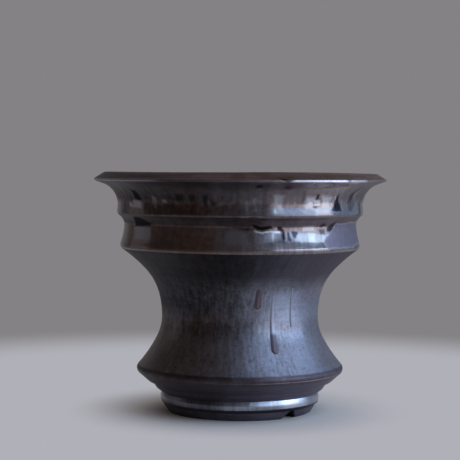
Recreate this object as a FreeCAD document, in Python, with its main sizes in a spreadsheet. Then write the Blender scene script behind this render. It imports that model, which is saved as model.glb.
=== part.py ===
"""Flower pot of wheel-thrown stoneware: flared lip, collar of two bands, waisted stem and turned foot.

The axis of the pot is +Z, its foot stands on z = 0 and its front faces -Y. All lengths are millimetres.
Heights stack up from the ground, and radii are those of the clay, so the glaze lies outside them.
"""
import FreeCAD, Part
import math
import os

import Sketcher

doc = FreeCAD.newDocument("FlowerPot")

# Driving sizes
SIZES = [
    # Heights of the clay, one on top of the other
    ("foot_edge_height", 1.0, "bevel at the ground"),
    ("foot_taper_height", 7.6, "taper of the foot under its band"),
    ("foot_band_height", 8.7, "rounded band of the foot"),
    ("ledge_under_height", 3.6, "slope over the foot's band"),
    ("ledge_height", 3.3, "edge of the small ledge over it"),
    ("step_height", 3.6, "slope from that ledge to the step under the skirt"),
    ("skirt_under_height", 6.6, "slope under the skirt"),
    ("skirt_edge_height", 6.2, "rounded edge of the skirt"),
    ("flank_height", 25.4, "slope over the skirt's edge"),
    ("low_stem_height", 18.0, "from that slope to the waist"),
    ("high_stem_height", 17.0, "from the waist to the stem's bend"),
    ("bend_height", 27.0, "bend of the stem"),
    ("funnel_height", 16.9, "slope from the bend to the collar"),
    ("low_ring_height", 2.4, "edge of the collar's lower ring"),
    ("low_band_height", 19.1, "lower band of the collar"),
    ("high_ring_rise", 8.4, "slope under the collar's upper ring"),
    ("high_ring_height", 1.8, "edge of the collar's upper ring"),
    ("high_band_height", 6.4, "upper band of the collar"),
    ("cove_height", 19.0, "hollow under the lip"),
    ("lip_under_height", 2.1, "slope under the lip's edge"),
    ("lip_edge_height", 0.8, "edge of the lip"),
    ("lip_slope_height", 5.4, "fall of the lip's top to its edge"),
    # Outside of the foot
    ("foot_radius", 68.6, "groove between foot and ledge"),
    ("foot_bulge", 1.0, "how far the foot's band swells"),
    ("foot_band_reach", 0.4, "lower edge of the band, beyond the groove"),
    ("foot_edge_draw", 4.0, "top of the bevel, inside the groove's radius"),
    ("foot_ground_draw", 5.6, "outer edge of the ground face, inside the groove's radius"),
    ("ledge_under_reach", 5.1, "lower edge of the ledge, beyond the groove"),
    ("ledge_reach", 7.3, "upper edge of the ledge, beyond the groove"),
    ("step_reach", 13.0, "edge of the step, beyond the groove"),
    ("step_hollow", 0.4, "depth of the slope's hollow between ledge and step"),
    # Outside of the stem and skirt
    ("waist_radius", 68.7, "narrowest place of the stem"),
    ("skirt_reach", 21.3, "upper end of the skirt's edge, beyond the waist"),
    ("skirt_under_draw", 1.0, "lower end of the skirt's edge, inside its upper end"),
    ("skirt_bulge", 1.5, "how far the skirt's edge swells"),
    ("flank_reach", 4.2, "top of the slope over the skirt, beyond the waist"),
    ("flank_hollow", 1.0, "depth of that slope's hollow"),
    ("bend_reach", 1.7, "foot of the stem's bend, beyond the waist"),
    ("bend_hollow", 2.2, "depth of the bend's hollow"),
    ("funnel_reach", 16.3, "foot of the slope under the collar, beyond the waist"),
    ("funnel_hollow", 0.6, "depth of that slope's hollow"),
    # Outside of the collar
    ("collar_reach", 37.0, "lower ring, beyond the waist"),
    ("low_ring_undercut", 0.8, "sharp edge under the lower ring, inside it"),
    ("collar_gap_depth", 3.7, "groove between the two bands, inside the lower ring"),
    ("low_band_hollow", 0.7, "hollow of the lower band"),
    ("high_ring_reach", 2.8, "upper ring, beyond the lower one"),
    ("high_ring_undercut", 0.6, "sharp edge under the upper ring, inside it"),
    ("high_ring_hollow", 1.0, "hollow under the upper ring"),
    ("neck_draw", 0.6, "top of the upper band, inside the upper ring"),
    # Lip
    ("lip_overhang", 21.2, "edge of the lip, beyond the upper band"),
    ("lip_under_draw", 1.9, "lower corner of the lip's edge, inside it"),
    ("cove_draw", 7.9, "outer end of the lip's hollow, inside its edge"),
    ("lip_slope_width", 8.8, "sloping top of the lip"),
    ("lip_flat_width", 7.7, "flat top of the lip"),
    # Inside
    ("mouth_edge_width", 2.2, "rounding at the mouth, across"),
    ("mouth_edge_height", 2.6, "rounding at the mouth, down"),
    ("mouth_cove_hollow", 2.6, "how far the mouth's flare swells inwards"),
    ("neck_wall", 8.0, "wall at the top of the collar"),
    ("collar_wall", 9.2, "wall at the lower ring"),
    ("collar_foot_rise", 3.3, "inner foot of the collar, over the lower ring"),
    ("stem_wall", 7.2, "wall at the waist"),
    ("root_reach", 14.5, "widest place inside the skirt, beyond the inner waist"),
    ("root_rise", 5.4, "top of that place, over the skirt's edge"),
    ("root_wall_height", 4.0, "upright wall of the root space"),
    ("root_corner_width", 12.0, "rounding between the wall and the floor"),
    ("root_corner_swell", 3.4, "depth of that rounding"),
    ("floor_thickness", 11.2, "floor of the pot"),
    ("drain_hole_radius", 13.0, "hole in the middle of the floor"),
    # Foot ring
    ("foot_ring_width", 16.1, "foot ring under the floor"),
    ("foot_inner_bevel", 1.5, "bevel at its inner edge"),
    ("notch_width", 17.5, "drain notch at the ground"),
    ("notch_height", 8.2, "drain notch"),
    ("notch_crown", 1.3, "how far the notch's rounded top rises over its slopes"),
    ("notch_crown_width", 5.2, "width of that top"),
    ("notch_count", 3, "drain notches in the foot ring"),
    ("notch_angle", 42, "degrees from the front to the first notch"),
    # Glaze
    ("glaze_thickness", 0.7, "glaze coat"),
    ("run_relief", 0.9, "how far a glaze run stands out of the coat"),
    ("long_run_angle", 23.2, "degrees from the front to the long run"),
    ("long_run_drop", 21.5, "from the waist down to its bead"),
    ("long_run_length", 43.0, "from its bead to its tail"),
    ("long_run_bead", 4.0, "radius of its bead"),
    ("long_run_tail", 1.5, "radius of its tail"),
    ("short_run_angle", 12.4, "degrees from the front to the short run"),
    ("short_run_drop", -15.5, "from the waist down to its bead"),
    ("short_run_length", 12.0, "from its bead to its tail"),
    ("short_run_bead", 3.4, "radius of its bead"),
    ("short_run_tail", 2.6, "radius of its tail"),
    ("thin_run_angle", 39.7, "degrees from the front to the thin run"),
    ("thin_run_drop", 3.0, "from the waist down to its bead"),
    ("thin_run_length", 32.0, "from its bead to its tail"),
    ("thin_run_bead", 1.3, "radius of its bead"),
    ("thin_run_tail", 0.8, "radius of its tail"),
    ("overrun", 5.0, "how far cutting shapes reach past what they cut"),
]


class Value:
    """A number and the sheet expression that gives it, so that what is worked out stays bound."""

    def __init__(self, number, text):
        self.number = number
        self.text = text

    def join(self, other, number, sign):
        return Value(number, f"({self.text} {sign} {other.text})")

    def __add__(self, other):
        return self.join(other, self.number + other.number, "+")

    def __sub__(self, other):
        return self.join(other, self.number - other.number, "-")

    def __mul__(self, other):
        return self.join(other, self.number * other.number, "*")

    def __truediv__(self, other):
        return self.join(other, self.number / other.number, "/")


class Sizes:
    """The sheet of driving sizes, with each alias as an attribute."""

    def __init__(self, rows):
        self.sheet = doc.addObject("Spreadsheet::Sheet", "Sizes")
        self.row = 0
        for alias, number, note in rows:
            self.add(alias, number, note)

    def add(self, alias, number, note):
        self.row += 1
        self.sheet.set(f"A{self.row}", alias)
        self.sheet.set(f"B{self.row}", str(number))
        self.sheet.set(f"C{self.row}", note)
        self.sheet.setAlias(f"B{self.row}", alias)
        setattr(self, alias, Value(number, f"Sizes.{alias}"))


size = Sizes(SIZES)
doc.recompute()

NOTHING = Value(0, "0")
TWO = Value(2, "2")
HALF = Value(0.5, "0.5")

# Levels, stacked from the ground
foot_edge = size.foot_edge_height
foot_band = foot_edge + size.foot_taper_height
foot_groove = foot_band + size.foot_band_height
ledge_under = foot_groove + size.ledge_under_height
ledge = ledge_under + size.ledge_height
step = ledge + size.step_height
skirt_under = step + size.skirt_under_height
skirt_over = skirt_under + size.skirt_edge_height
flank = skirt_over + size.flank_height
waist = flank + size.low_stem_height
bend = waist + size.high_stem_height
funnel = bend + size.bend_height
low_ring_under = funnel + size.funnel_height
low_ring = low_ring_under + size.low_ring_height
collar_gap = low_ring + size.low_band_height
high_ring_under = collar_gap + size.high_ring_rise
high_ring = high_ring_under + size.high_ring_height
neck = high_ring + size.high_band_height
cove = neck + size.cove_height
lip_under = cove + size.lip_under_height
lip_edge = lip_under + size.lip_edge_height
lip_top = lip_edge + size.lip_slope_height
mouth_edge = lip_top - size.mouth_edge_height
collar_foot = low_ring + size.collar_foot_rise
root_wall = skirt_over + size.root_rise
root_corner = root_wall - size.root_wall_height
floor_top = foot_groove + size.floor_thickness

# Radii, from the foot and from the waist outwards
foot_inner_radius = size.foot_radius - size.foot_ring_width
skirt_radius = size.waist_radius + size.skirt_reach
collar_radius = size.waist_radius + size.collar_reach
high_ring_radius = collar_radius + size.high_ring_reach
neck_radius = high_ring_radius - size.neck_draw
lip_radius = neck_radius + size.lip_overhang
lip_top_radius = lip_radius - size.lip_slope_width
mouth_radius = lip_top_radius - size.lip_flat_width
neck_bore_radius = neck_radius - size.neck_wall
stem_bore_radius = size.waist_radius - size.stem_wall
root_radius = stem_bore_radius + size.root_reach


def chord_radius(start, end, rise):
    """Radius of the arc between two points that stands out from their chord by the given rise."""
    across = end[0] - start[0]
    up = end[1] - start[1]
    quarter = (across * across + up * up) / (TWO * TWO)
    return (quarter + rise * rise) / (TWO * rise)


def upright_radius(start, end):
    """Radius of the arc that leaves its end point upright, as at the waist and the neck."""
    across = start[0] - end[0]
    up = start[1] - end[1]
    return (across * across + up * up) / (TWO * across)


class Outline:
    """Lines and arcs through points (radius, height). An arc turns left or right on its way."""

    def __init__(self, start):
        self.start = start
        self.steps = []

    def line(self, *points):
        for point in points:
            self.steps.append((point, None, None))
        return self

    def arc(self, point, rise, turn):
        start = self.steps[-1][0] if self.steps else self.start
        self.steps.append((point, chord_radius(start, point, rise), turn))
        return self

    def arc_of(self, point, radius, turn):
        self.steps.append((point, radius, turn))
        return self

    def draw(self, sketch, closed):
        """Draw the outline in a sketch, every point and arc bound to the sheet."""
        steps = list(self.steps)
        if closed:
            steps.append((self.start, None, None))
        start, tail = self.start, None
        for index, (point, radius, turn) in enumerate(steps):
            if radius is None:
                geometry, first, last = add_line(sketch, start, point)
            else:
                geometry, first, last = add_arc(sketch, start, point, radius, turn)
            if tail is None:
                head = (geometry, first)
                pin_point(sketch, geometry, first, start)
            else:
                sketch.addConstraint(Sketcher.Constraint("Coincident", *tail, geometry, first))
            tail = (geometry, last)
            if closed and index == len(steps) - 1:
                sketch.addConstraint(Sketcher.Constraint("Coincident", *tail, *head))
            else:
                pin_point(sketch, geometry, last, point)
            start = point


def flat(point):
    """A point (radius, height) as a vector in the sketch plane."""
    return FreeCAD.Vector(point[0].number, point[1].number, 0)


def bind(sketch, constraint, value):
    index = sketch.addConstraint(constraint)
    sketch.setExpression(f"Constraints[{index}]", value.text)


def pin_point(sketch, geometry, end, point):
    """Hold one end of a line or arc at its radius and height."""
    for kind, axis, value in (("DistanceX", -2, point[0]), ("DistanceY", -1, point[1])):
        if value.number == 0:
            sketch.addConstraint(Sketcher.Constraint("PointOnObject", geometry, end, axis))
        else:
            bind(sketch, Sketcher.Constraint(kind, -1, 1, geometry, end, value.number), value)


def add_line(sketch, start, end):
    geometry = sketch.addGeometry(Part.LineSegment(flat(start), flat(end)), False)
    return geometry, 1, 2


def add_arc(sketch, start, end, radius, turn):
    """An arc of the given radius that turns left or right on its way from start to end."""
    a, b = flat(start), flat(end)
    chord = b - a
    left = FreeCAD.Vector(-chord.y, chord.x, 0).normalize()
    reach = math.sqrt(radius.number ** 2 - (chord.Length / 2) ** 2)
    sign = 1 if turn == "left" else -1
    centre = (a + b) * 0.5 + left * (reach * sign)
    angle_a = math.atan2(a.y - centre.y, a.x - centre.x)
    angle_b = math.atan2(b.y - centre.y, b.x - centre.x)
    circle = Part.Circle(centre, FreeCAD.Vector(0, 0, 1), radius.number)
    if turn == "left":
        geometry = sketch.addGeometry(Part.ArcOfCircle(circle, angle_a, angle_b), False)
        first, last = 1, 2
    else:
        geometry = sketch.addGeometry(Part.ArcOfCircle(circle, angle_b, angle_a), False)
        first, last = 2, 1
    bind(sketch, Sketcher.Constraint("Radius", geometry, radius.number), radius)
    return geometry, first, last


def glazed_outline():
    """The clay's glazed surface: from inside the mouth, over the lip and down to the foot."""
    outline = Outline((neck_bore_radius, neck))
    outline.arc((mouth_radius - size.mouth_edge_width, mouth_edge), size.mouth_cove_hollow, "right")
    outline.arc((mouth_radius, lip_top), size.mouth_edge_height * HALF * HALF, "right")
    outline.line((lip_top_radius, lip_top), (lip_radius, lip_edge))
    at_cove = (lip_radius - size.cove_draw, cove)
    at_neck = (neck_radius, neck)
    outline.line((lip_radius - size.lip_under_draw, lip_under), at_cove)
    outline.arc_of(at_neck, upright_radius(at_cove, at_neck), "left")
    outline.line((high_ring_radius, high_ring))
    outline.line((high_ring_radius - size.high_ring_undercut, high_ring_under))
    outline.arc((collar_radius - size.collar_gap_depth, collar_gap), size.high_ring_hollow, "left")
    outline.arc((collar_radius, low_ring), size.low_band_hollow, "left")
    outline.line((collar_radius - size.low_ring_undercut, low_ring_under))
    at_bend = (size.waist_radius + size.bend_reach, bend)
    at_waist = (size.waist_radius, waist)
    at_flank = (size.waist_radius + size.flank_reach, flank)
    outline.arc((size.waist_radius + size.funnel_reach, funnel), size.funnel_hollow, "left")
    outline.arc(at_bend, size.bend_hollow, "left")
    outline.arc_of(at_waist, upright_radius(at_bend, at_waist), "left")
    outline.arc_of(at_flank, upright_radius(at_flank, at_waist), "left")
    outline.arc((skirt_radius, skirt_over), size.flank_hollow, "left")
    outline.arc((skirt_radius - size.skirt_under_draw, skirt_under), size.skirt_bulge, "right")
    outline.line((size.foot_radius + size.step_reach, step))
    outline.arc((size.foot_radius + size.ledge_reach, ledge), size.step_hollow, "left")
    outline.line((size.foot_radius + size.ledge_under_reach, ledge_under))
    outline.line((size.foot_radius, foot_groove))
    return outline


def new_body(label):
    body = doc.addObject("PartDesign::Body", label)
    body.Label = label
    return body


def body_sketch(body, name):
    """A sketch on the body's own upright plane, radius across and height up."""
    sketch = body.newObject("Sketcher::SketchObject", name)
    plane = next(item for item in body.Origin.OriginFeatures if item.Role == "XZ_Plane")
    sketch.AttachmentSupport = (plane, [""])
    sketch.MapMode = "FlatFace"
    return sketch


def turn_sketch(body, sketch, name):
    """Revolve a closed sketch about the pot's axis."""
    turned = body.newObject("PartDesign::Revolution", name)
    turned.Profile = (sketch, [""])
    turned.ReferenceAxis = (sketch, ["V_Axis"])
    turned.Angle = 360
    doc.recompute()
    return turned


# Stoneware body: lip, collar, stem, skirt and floor, thrown in one
def make_stoneware_body():
    body = new_body("stoneware_body")
    outline = glazed_outline()
    outline.line((size.drain_hole_radius, foot_groove), (size.drain_hole_radius, floor_top))
    outline.line((root_radius - size.root_corner_width, floor_top))
    at_root = (root_radius, root_wall)
    at_waist = (stem_bore_radius, waist)
    at_collar = (collar_radius - size.collar_wall, collar_foot)
    outline.arc((root_radius, root_corner), size.root_corner_swell, "left")
    outline.line(at_root)
    outline.arc_of(at_waist, upright_radius(at_root, at_waist), "right")
    outline.arc_of(at_collar, upright_radius(at_collar, at_waist), "right")
    sketch = body_sketch(body, "BodySection")
    outline.draw(sketch, closed=True)
    turn_sketch(body, sketch, "TurnedBody")
    return body


def foot_band_arc(outline):
    """The foot's swelling band, from the groove over it down to its lower edge."""
    outline.arc((size.foot_radius + size.foot_band_reach, foot_band), size.foot_bulge, "right")


# Foot ring: turned, with drain notches through it
def make_foot_ring():
    body = new_body("foot_ring")
    outline = Outline((foot_inner_radius, foot_groove))
    outline.line((size.foot_radius, foot_groove))
    foot_band_arc(outline)
    outline.line((size.foot_radius - size.foot_edge_draw, foot_edge))
    outline.line((size.foot_radius - size.foot_ground_draw, NOTHING))
    outline.line((foot_inner_radius + size.foot_inner_bevel, NOTHING))
    outline.line((foot_inner_radius, size.foot_inner_bevel))
    sketch = body_sketch(body, "FootSection")
    outline.draw(sketch, closed=True)
    turned = turn_sketch(body, sketch, "TurnedFoot")

    half_width = size.notch_width * HALF
    half_crown = size.notch_crown_width * HALF
    shoulder = size.notch_height - size.notch_crown
    notch = Outline((half_width, NOTHING - size.overrun))
    notch.line((half_width, NOTHING), (half_crown, shoulder))
    notch.arc((NOTHING - half_crown, shoulder), size.notch_crown, "left")
    notch.line((NOTHING - half_width, NOTHING), (NOTHING - half_width, NOTHING - size.overrun))
    sketch = body_sketch(body, "NotchSection")
    notch.draw(sketch, closed=True)
    pocket = body.newObject("PartDesign::Pocket", "Notch")
    pocket.Profile = (sketch, [""])
    pocket.setExpression("Length", (size.foot_radius + size.overrun).text)
    pocket.Reversed = True
    doc.recompute()
    pattern = body.newObject("PartDesign::PolarPattern", "Notches")
    pattern.Originals = [pocket]
    pattern.Axis = (sketch, ["V_Axis"])
    pattern.Angle = 360
    pattern.setExpression("Occurrences", size.notch_count.text)
    body.Tip = pattern
    doc.recompute()
    if not pattern.Shape.Volume < pocket.Shape.Volume < turned.Shape.Volume:
        raise RuntimeError("a drain notch cuts nothing")
    turn_about_axis(body, size.notch_angle)
    return body


def turn_about_axis(item, angle):
    """Turn an item about the pot's axis, from the front to the right, by some degrees."""
    about_axis = FreeCAD.Rotation(FreeCAD.Vector(0, 0, 1), angle.number)
    item.Placement = FreeCAD.Placement(FreeCAD.Vector(), about_axis)
    item.setExpression("Placement.Rotation.Angle", angle.text)


def upright_sketch(name):
    """A sketch on the upright plane through the axis, its normal to the front."""
    sketch = doc.addObject("Sketcher::SketchObject", name)
    raise_up = FreeCAD.Rotation(FreeCAD.Vector(1, 0, 0), 90)
    sketch.Placement = FreeCAD.Placement(FreeCAD.Vector(), raise_up)
    return sketch


def thicken(source, name, value, fill):
    """A line moved outwards from the clay in its own plane; filled, it is the strip between the two."""
    strip = doc.addObject("Part::Offset2D", name)
    strip.Source = source
    strip.Mode = "Skin"
    strip.Join = "Arc"
    strip.Fill = fill
    strip.setExpression("Value", (NOTHING - value).text)
    doc.recompute()
    return strip


def revolve(strip, name):
    shell = doc.addObject("Part::Revolution", name)
    shell.Source = strip
    shell.Axis = FreeCAD.Vector(0, 0, 1)
    shell.Base = FreeCAD.Vector(0, 0, 0)
    shell.Angle = 360
    shell.Solid = True
    return shell


# Glaze: one coat over lip, collar, stem, skirt and foot, in zones of unlike finish
def make_glaze():
    line = upright_sketch("GlazedLine")
    outline = glazed_outline()
    foot_band_arc(outline)
    outline.draw(line, closed=False)
    coat = revolve(thicken(line, "GlazeStrip", size.glaze_thickness, True), "GlazeCoat")
    zones = [
        ("collar_glaze", low_ring_under, lip_top + size.overrun),
        ("stem_glaze", skirt_over, low_ring_under),
        ("skirt_glaze", foot_groove, skirt_over),
        ("foot_glaze", foot_band - size.overrun, foot_groove),
    ]
    made = []
    for label, low, high in zones:
        slab = doc.addObject("Part::Cylinder", f"{label}_zone")
        slab.setExpression("Radius", (lip_radius + size.overrun).text)
        slab.setExpression("Height", (high - low).text)
        slab.setExpression("Placement.Base.z", low.text)
        zone = doc.addObject("Part::Common", label)
        zone.Label = label
        zone.Base = coat
        zone.Tool = slab
        made.append(zone)
    doc.recompute()
    return made, line


def draw_drop(sketch, bead_level, length, bead_radius, tail_radius):
    """A drop: a round bead below, a smaller round tail above, and two sides that touch both."""
    tail_level = bead_level + length
    slope = math.acos((bead_radius - tail_radius).number / length.number)
    low = FreeCAD.Vector(0, bead_level.number, 0)
    high = FreeCAD.Vector(0, tail_level.number, 0)
    up = FreeCAD.Vector(0, 0, 1)
    right, left = math.pi / 2 - slope, math.pi / 2 + slope
    tail = Part.ArcOfCircle(Part.Circle(high, up, tail_radius.number), right, left)
    bead = Part.ArcOfCircle(Part.Circle(low, up, bead_radius.number), left, right + 2 * math.pi)
    sketch.addGeometry([tail, bead], False)
    ends = []
    for curve in (tail, bead):
        ends += [curve.StartPoint, curve.EndPoint]
    sketch.addGeometry(Part.LineSegment(ends[1], ends[2]), False)
    sketch.addGeometry(Part.LineSegment(ends[3], ends[0]), False)
    for curve, curve_end, side, side_end in ((0, 2, 2, 1), (2, 2, 1, 1), (1, 2, 3, 1), (3, 2, 0, 1)):
        sketch.addConstraint(Sketcher.Constraint("Tangent", curve, curve_end, side, side_end))
    for curve, level, radius in ((0, tail_level, tail_radius), (1, bead_level, bead_radius)):
        sketch.addConstraint(Sketcher.Constraint("PointOnObject", curve, 3, -2))
        bind(sketch, Sketcher.Constraint("DistanceY", -1, 1, curve, 3, level.number), level)
        bind(sketch, Sketcher.Constraint("Radius", curve, radius.number), radius)


# Glaze runs: raised drops on the stem, following its curve
def make_glaze_runs(line):
    surface = thicken(line, "GlazeSurface", size.glaze_thickness, False)
    raised = revolve(thicken(surface, "RunStrip", size.run_relief, True), "RunShell")
    drops = []
    for name in ("long_run", "short_run", "thin_run"):
        words = ("angle", "drop", "length", "bead", "tail")
        angle, drop, length, bead, tail = (getattr(size, f"{name}_{word}") for word in words)
        sketch = upright_sketch(f"{name}_drop")
        draw_drop(sketch, waist - drop, length, bead, tail)
        prism = doc.addObject("Part::Extrusion", f"{name}_prism")
        prism.Base = sketch
        prism.DirMode = "Normal"
        prism.Solid = True
        prism.setExpression("LengthFwd", lip_radius.text)
        turn_about_axis(prism, angle)
        piece = doc.addObject("Part::Common", name)
        piece.Base = raised
        piece.Tool = prism
        drops.append(piece)
    group = doc.addObject("Part::Compound", "glaze_runs")
    group.Label = "glaze_runs"
    group.Links = drops
    doc.recompute()
    return group


stoneware_body = make_stoneware_body()
foot_ring = make_foot_ring()
glaze_zones, glazed_line = make_glaze()
glaze_runs = make_glaze_runs(glazed_line)
nodes = [stoneware_body, foot_ring, *glaze_zones, glaze_runs]

doc.recompute()
for item in doc.Objects:
    if "Invalid" in item.State or "Error" in item.State:
        raise RuntimeError(f"{item.Label} did not build")
for node in nodes:
    if node.Shape.isNull() or not node.Shape.isValid():
        raise RuntimeError(f"{node.Label} has no valid shape")

os.makedirs("parts", exist_ok=True)
for node in nodes:
    node.Shape.exportStep(f"parts/{node.Label}.step")
    box = node.Shape.optimalBoundingBox()
    count, volume = len(node.Shape.Solids), node.Shape.Volume
    print(f"{node.Label}: {count} solids, {volume:.0f} mm3, {box.ZMin:.2f} to {box.ZMax:.2f} mm high")
across = TWO * (lip_radius + size.glaze_thickness)
height = lip_top + size.glaze_thickness
print(f"the pot is {across.number:.1f} mm across its lip and {height.number:.1f} mm high")
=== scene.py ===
"""The glazed stoneware flower pot: its coat of glaze, its bare clay, the studio and the camera.

Outlines are in millimetres and the pieces in metres.
Azimuth counts in degrees from the front (-Y) to the right.
"""
import math

import bpy
import numpy as np
from mathutils import Matrix, Vector


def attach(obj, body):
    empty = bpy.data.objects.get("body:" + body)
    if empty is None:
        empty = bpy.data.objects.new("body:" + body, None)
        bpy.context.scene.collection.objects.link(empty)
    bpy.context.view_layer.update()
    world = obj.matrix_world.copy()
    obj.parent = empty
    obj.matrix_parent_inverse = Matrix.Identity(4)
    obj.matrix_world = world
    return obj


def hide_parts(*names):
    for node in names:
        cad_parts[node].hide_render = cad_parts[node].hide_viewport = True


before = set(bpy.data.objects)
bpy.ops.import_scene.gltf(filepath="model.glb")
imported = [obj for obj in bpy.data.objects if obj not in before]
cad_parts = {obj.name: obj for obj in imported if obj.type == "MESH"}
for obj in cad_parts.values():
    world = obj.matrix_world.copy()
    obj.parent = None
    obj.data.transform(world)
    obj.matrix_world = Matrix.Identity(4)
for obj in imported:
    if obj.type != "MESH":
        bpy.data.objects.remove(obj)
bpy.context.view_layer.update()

MM = 0.001
SEED = 7

# The clay under the glaze, from inside the mouth over the lip and down to the foot: what the point is,
# its radius and height, and how far the stretch that leads to it swells out from its chord
OUTLINE = [
    ("neck bore", 99.9, 183.0, 0.0),
    ("mouth edge", 110.4, 207.7, 2.6),
    ("mouth", 112.6, 210.3, 0.65),
    ("lip top", 120.3, 210.3, 0.0),
    ("lip edge", 129.1, 204.9, 0.0),
    ("lip underside", 127.2, 204.1, 0.0),
    ("cove", 121.2, 202.0, 0.0),
    ("neck", 107.9, 183.0, -3.66),
    ("upper ring", 108.5, 176.6, 0.0),
    ("upper ring underside", 107.9, 174.8, 0.0),
    ("collar gap", 102.0, 166.4, -1.0),
    ("lower band foot", 105.1, 149.6, -0.65),
    ("lower ring", 105.7, 147.2, 0.1),
    ("lower ring underside", 104.9, 144.9, 0.0),
    ("funnel", 85.0, 128.0, -0.6),
    ("bend", 70.4, 101.0, -2.2),
    ("waist", 68.7, 84.0, -0.43),
    ("flank", 72.9, 66.0, -1.06),
    ("skirt", 90.0, 40.6, -1.0),
    ("skirt underside", 89.0, 34.4, 1.5),
    ("step", 81.6, 27.8, 0.0),
    ("ledge", 75.9, 24.2, -0.4),
    ("ledge underside", 73.7, 20.9, 0.0),
    ("groove", 68.6, 17.3, 0.0),
    ("foot band", 69.0, 8.6, 1.0),
]
COAT = 0.7              # thickness of the glaze
CORNER = 0.55           # how far the glaze rounds a corner
FINE_STEP = 0.2         # between the points that an outline is worked out on
AZIMUTHS = 600          # points around the pot
BEND_GAP = 0.4          # between the outer face's rows where the outline bends
BACK_GAPS = 6.0, 1.0    # between the inner face's rows where the outline is even and where it bends
FULL_BEND = 0.35        # radians per millimetre that count as a full bend
BEND_WINDOW = 9         # points that a bend is averaged over
SHARP_ANGLE = 50        # degrees between two faces from which their edge stays sharp

# Glaze runs on the stem: azimuth, height of the bead, length up to the tail, radius of bead and tail,
# and by how many degrees the tail's end is turned to the left
RUNS = [
    (23.2, 62.5, 43.0, 4.0, 1.5, 0.0),
    (12.4, 99.5, 12.0, 3.4, 2.6, 0.0),
    (39.7, 81.0, 32.0, 1.3, 0.8, 3.7),
]
RUN_RELIEF = 0.9
RUN_SUNK = 0.3          # how far a run's underside lies in the glaze
RUN_SWAY = 0.5, 9.0     # how far a run strays to the side, and the height in which it does so by a radian
RUN_TAPER = 0.6         # power by which a run narrows from its bead to its tail
TAIL_THINNING = 0.45    # share of its relief that a run has lost at its tail's end
RUN_COUNTS = 96, 24     # points along and across a run

# Ripples in the glaze's surface: heights from the foot up and how strong each kind is there, its seed, its
# number of waves, how many times they go around the pot and how long they are up it
RIPPLES = {
    "out of round": ((0,), (0.16,), 1, 4, (2, 3), (300, 600)),
    "throwing lines": ((20, 60, 130, 150), (0.014, 0.02, 0.02, 0.004), 2, 14, (0, 2), (2.6, 7)),
    "flow": ((0,), (0.016,), 3, 24, (20, 70), (60, 200)),
    "dents": ((0,), (0.02,), 4, 16, (4, 16), (14, 40)),
    "lumps": ((147, 150, 166, 178, 184, 188, 198, 203),
              (0.0, 0.006, 0.008, 0.008, 0.03, 0.075, 0.05, 0.0), 5, 60, (30, 100), (9, 24)),
}
# How far the edges of painted marks wander aside and up, and then as in the ripples
WANDER_ASIDE = (0.35, 11, 24, (12, 60), (8, 24))
WANDER_UP = (0.25, 12, 24, (16, 60), (30, 120))


def colour(red, green, blue):
    """A screen's sRGB colour, 0 to 255, in the linear values that a shader takes."""
    shares = [value / 255 for value in (red, green, blue)]
    linear = [share / 12.92 if share < 0.04 else ((share + 0.055) / 1.055) ** 2.4 for share in shares]
    return (*linear, 1.0)


# Outline of the coat
def stretch(start, end, swell):
    """Points from start up to end, on the line or arc that stands swell to the left of its chord."""
    chord = end - start
    length = math.hypot(*chord)
    along = chord / length
    left = np.array((-along[1], along[0]))
    share = np.arange(0, 1, FINE_STEP / length)
    if swell == 0:
        return start + share[:, None] * chord
    turn = 4 * math.atan(2 * swell / length)
    radius = length / (2 * math.sin(turn / 2))
    angle = turn * (share - 0.5)
    forward = radius * np.sin(angle) + length / 2
    aside = radius * (np.cos(angle) - math.cos(turn / 2))
    return start + forward[:, None] * along + aside[:, None] * left


def smooth(points, reach):
    """The same line with its corners rounded, its two ends kept."""
    half = int(3 * reach / FINE_STEP)
    offset = np.arange(-half, half + 1) * FINE_STEP
    weight = np.exp(-0.5 * (offset / reach) ** 2)
    weight /= weight.sum()
    before = 2 * points[0] - points[half:0:-1]
    after = 2 * points[-1] - points[-2:-half - 2:-1]
    padded = np.concatenate([before, points, after])
    return np.stack([np.convolve(padded[:, axis], weight, "valid") for axis in (0, 1)], axis=1)


def normals_of(points):
    """The direction out of the clay at each point of a line."""
    slope = np.gradient(points, axis=0)
    slope /= np.hypot(slope[:, 0], slope[:, 1])[:, None]
    return np.stack([-slope[:, 1], slope[:, 0]], axis=1)


def make_outline():
    """The coat's inner and outer line and its outward direction, and where each named point lies on them."""
    places, line = {}, []
    spots = [np.array(row[1:3]) for row in OUTLINE]
    places[OUTLINE[0][0]] = 0
    for (name, _, _, swell), start, end in zip(OUTLINE[1:], spots, spots[1:]):
        line.append(stretch(start, end, swell))
        places[name] = sum(len(part) for part in line)
    line = np.concatenate([*line, spots[-1][None]])
    rounded = smooth(line, CORNER)
    outward = normals_of(smooth(line, 2 * CORNER))
    return line, rounded + COAT * normals_of(rounded), outward, places


INNER, OUTER, OUTWARD, PLACES = make_outline()


# Shape of the glaze's surface
def waves(azimuth, height, seed, count, turns, lengths):
    """Smooth ripples of about one unit: random waves around the pot and up it."""
    random = np.random.default_rng(SEED + seed)
    total = np.zeros(np.broadcast(azimuth, height).shape)
    for _ in range(count):
        times_round = random.integers(turns[0], turns[1] + 1)
        upward = 2 * math.pi / random.uniform(*lengths) * random.choice((-1, 1))
        total += np.cos(times_round * azimuth + upward * height + random.uniform(0, 2 * math.pi))
    return total * math.sqrt(2 / count)


def relief(azimuth, height):
    """How far the glaze stands out of its even surface."""
    return sum(np.interp(height, levels, strengths) * waves(azimuth, height, *kind)
               for levels, strengths, *kind in RIPPLES.values())


# Corners of the collar's matt patch: azimuth in degrees and height
MATT_PATCH = [(51.0, 169.0), (48.6, 163.4), (42.6, 156.2), (41.8, 153.2), (43.8, 148.0), (56.0, 147.4),
              (66.0, 147.8), (76.0, 149.4), (95.0, 152.0), (95.0, 170.0)]
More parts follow.
